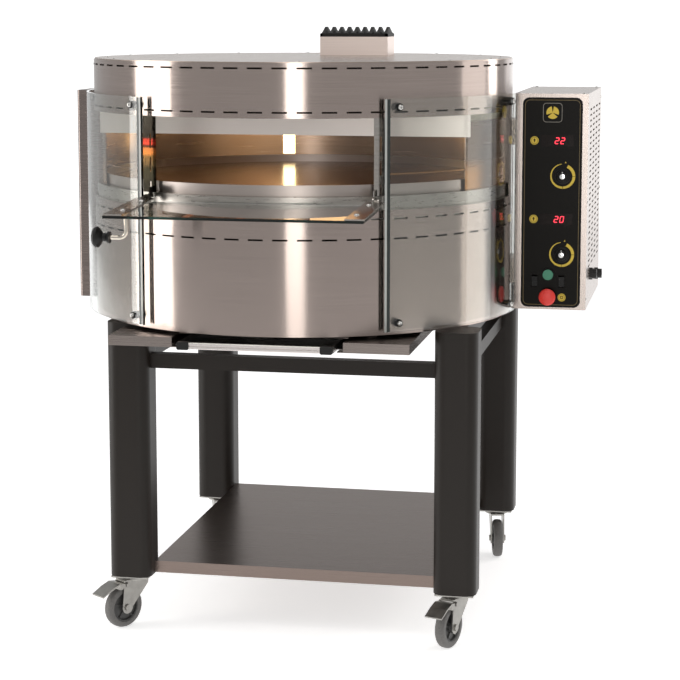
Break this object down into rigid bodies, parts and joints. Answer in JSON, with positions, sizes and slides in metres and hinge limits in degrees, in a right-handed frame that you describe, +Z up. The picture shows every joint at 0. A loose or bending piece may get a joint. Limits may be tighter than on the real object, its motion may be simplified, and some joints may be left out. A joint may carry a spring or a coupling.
{
  "type": "rotating deck pizza oven",
  "caption": "Round electric pizza oven with a rotating stone deck, lowered glass flap, curved side glasses, roof flue and control box, on a four-legged stand with swivel casters",
  "frame": {"origin": "on the floor, under the middle of the whole oven", "axes": "X to the right seen from the mouth, Y from the mouth to the back, Z up"},
  "size_m": [1.294, 1.237, 1.419],
  "materials": {
    "dark_paint": "satin",
    "shelf_steel": "satin",
    "zinc_steel": "zinc plated",
    "tray_steel": "satin",
    "plain_steel": "satin",
    "brushed_shell": "brushed",
    "black_iron": "matt",
    "heated_steel": "heat tinted",
    "wool": "matt",
    "heating_rod": "oxidised",
    "lamp_glass": "lit",
    "clear_glass": "clear",
    "black_plastic": "matt",
    "fascia_black": "gloss",
    "display_glass": "gloss",
    "motor_paint": "semi-gloss",
    "cast_housing": "machined",
    "stone": "matt",
    "turned_steel": "turned",
    "gear_steel": "machined",
    "chrome_rod": "polished",
    "anodised_aluminium": "anodised",
    "green_plastic": "gloss",
    "red_plastic": "gloss",
    "grey_tyre": "matt"
  },
  "bodies": {
    "oven_body": {"stand_legs": "dark_paint", "stand_frame": "dark_paint", "lower_shelf": "shelf_steel", "caster_plates": "zinc_steel", "base_tray": "tray_steel", "chassis_floor": "plain_steel", "lower_shell": "brushed_shell", "hearth_pan": "plain_steel", "rear_skin": "brushed_shell", "upper_band": "brushed_shell", "top_cover": "brushed_shell", "flue_box": "brushed_shell", "flue_grille": "black_iron", "chamber_wall": "heated_steel", "chamber_ceiling": "heated_steel", "front_plate": "plain_steel", "insulation": "wool", "heating_elements": "heating_rod", "chamber_lamp": "lamp_glass", "left_post": "plain_steel", "right_post": "plain_steel", "left_glass": "clear_glass", "right_glass": "clear_glass", "glass_screws": "black_plastic", "left_side_box": "brushed_shell", "control_box": "brushed_shell", "control_box_cover": "brushed_shell", "control_fascia": "fascia_black", "displays": "display_glass", "cable_glands": "black_plastic", "gearmotor": "motor_paint", "deck_bearing": "cast_housing"},
    "deck": {"deck_pan": "plain_steel", "deck_stone": "stone", "deck_shaft": "turned_steel", "deck_gear": "gear_steel"},
    "pinion": {"motor_pinion": "gear_steel"},
    "flap": {"flap_glass": "clear_glass", "flap_arms": "plain_steel", "handle_rod": "chrome_rod", "handle_knob": "black_plastic"},
    "drawer": {"drawer_tray": "plain_steel", "drawer_handle": "anodised_aluminium", "handle_end_caps": "black_plastic"},
    "upper_knob": {"upper_dial": "black_plastic"},
    "lower_knob": {"lower_dial": "black_plastic"},
    "green_button": {"start_button": "green_plastic"},
    "red_button": {"emergency_button": "red_plastic"},
    "rocker_a": {"left_rocker": "black_plastic"},
    "rocker_b": {"right_rocker": "black_plastic"},
    "caster_front_left": {"fork_front_left": "zinc_steel"},
    "roller_front_left": {"wheel_front_left": "grey_tyre"},
    "caster_front_right": {"fork_front_right": "zinc_steel"},
    "roller_front_right": {"wheel_front_right": "grey_tyre"},
    "caster_rear_left": {"fork_rear_left": "zinc_steel"},
    "roller_rear_left": {"wheel_rear_left": "grey_tyre"},
    "caster_rear_right": {"fork_rear_right": "zinc_steel"},
    "roller_rear_right": {"wheel_rear_right": "grey_tyre"},
    "brake_front_left": {"pedal_front_left": "zinc_steel"},
    "brake_front_right": {"pedal_front_right": "zinc_steel"}
  },
  "joints": [
    {"name": "deck_turn", "type": "hinge", "parent": "oven_body", "child": "deck", "pos_m": [-0.064, 0.10304, 0.745], "axis": [0, 0, 1], "continuous": true},
    {"name": "pinion_turn", "type": "hinge", "parent": "oven_body", "child": "pinion", "pos_m": [-0.064, 0.26304, 0.763], "axis": [0, 0, 1], "continuous": true},
    {"name": "flap_tilt", "type": "hinge", "parent": "oven_body", "child": "flap", "pos_m": [-0.064, -0.35696, 1.04], "axis": [-1, 0, 0], "range_deg": [0, 77.5]},
    {"name": "drawer_slide", "type": "slide", "parent": "oven_body", "child": "drawer", "axis": [0, -1, 0], "range_m": [0, 0.35]},
    {"name": "upper_dial_turn", "type": "hinge", "parent": "oven_body", "child": "upper_knob", "pos_m": [0.57117, 0.10304, 1.06602], "axis": [0, 1, 0], "range_deg": [0, 300]},
    {"name": "lower_dial_turn", "type": "hinge", "parent": "oven_body", "child": "lower_knob", "pos_m": [0.57117, 0.10304, 0.87703], "axis": [0, 1, 0], "range_deg": [0, 300]},
    {"name": "start_press", "type": "slide", "parent": "oven_body", "child": "green_button", "axis": [0, 1, 0], "range_m": [0, 0.003], "stiffness_N_per_m": 800, "springref_m": -0.001},
    {"name": "emergency_press", "type": "slide", "parent": "oven_body", "child": "red_button", "axis": [0, 1, 0], "range_m": [0, 0.005]},
    {"name": "left_rocker_tip", "type": "hinge", "parent": "oven_body", "child": "rocker_a", "pos_m": [0.50682, 0.10604, 0.8115], "axis": [-1, 0, 0], "range_deg": [0, 20]},
    {"name": "right_rocker_tip", "type": "hinge", "parent": "oven_body", "child": "rocker_b", "pos_m": [0.57117, 0.10604, 0.8115], "axis": [-1, 0, 0], "range_deg": [0, 20]},
    {"name": "swivel_front_left", "type": "hinge", "parent": "oven_body", "child": "caster_front_left", "pos_m": [-0.41, -0.22246, 0.115], "axis": [0, 0, 1], "continuous": true},
    {"name": "roll_front_left", "type": "hinge", "parent": "caster_front_left", "child": "roller_front_left", "pos_m": [-0.4309, -0.25176, 0.05], "axis": [0.8141, -0.5807, 0], "continuous": true},
    {"name": "swivel_front_right", "type": "hinge", "parent": "oven_body", "child": "caster_front_right", "pos_m": [0.366, -0.22246, 0.115], "axis": [0, 0, 1], "continuous": true},
    {"name": "roll_front_right", "type": "hinge", "parent": "caster_front_right", "child": "roller_front_right", "pos_m": [0.35339, -0.25618, 0.05], "axis": [0.9367, -0.3502, 0], "continuous": true},
    {"name": "swivel_rear_left", "type": "hinge", "parent": "oven_body", "child": "caster_rear_left", "pos_m": [-0.41, 0.56854, 0.115], "axis": [0, 0, 1], "continuous": true},
    {"name": "roll_rear_left", "type": "hinge", "parent": "caster_rear_left", "child": "roller_rear_left", "pos_m": [-0.3971, 0.53494, 0.05], "axis": [0.9336, 0.3584, 0], "continuous": true},
    {"name": "swivel_rear_right", "type": "hinge", "parent": "oven_body", "child": "caster_rear_right", "pos_m": [0.366, 0.56854, 0.115], "axis": [0, 0, 1], "continuous": true},
    {"name": "roll_rear_right", "type": "hinge", "parent": "caster_rear_right", "child": "roller_rear_right", "pos_m": [0.37318, 0.53327, 0.05], "axis": [0.9799, 0.1994, 0], "continuous": true},
    {"name": "brake_tip_front_left", "type": "hinge", "parent": "caster_front_left", "child": "brake_front_left", "pos_m": [-0.43207, -0.25339, 0.1061], "axis": [-0.8141, 0.5807, 0], "range_deg": [0, 12]},
    {"name": "brake_tip_front_right", "type": "hinge", "parent": "caster_front_right", "child": "brake_front_right", "pos_m": [0.35269, -0.25805, 0.1061], "axis": [-0.9367, 0.3502, 0], "range_deg": [0, 12]}
  ],
  "couplings": [
    {"joint": "pinion_turn", "follows": "deck_turn", "ratio": -3}
  ]
}
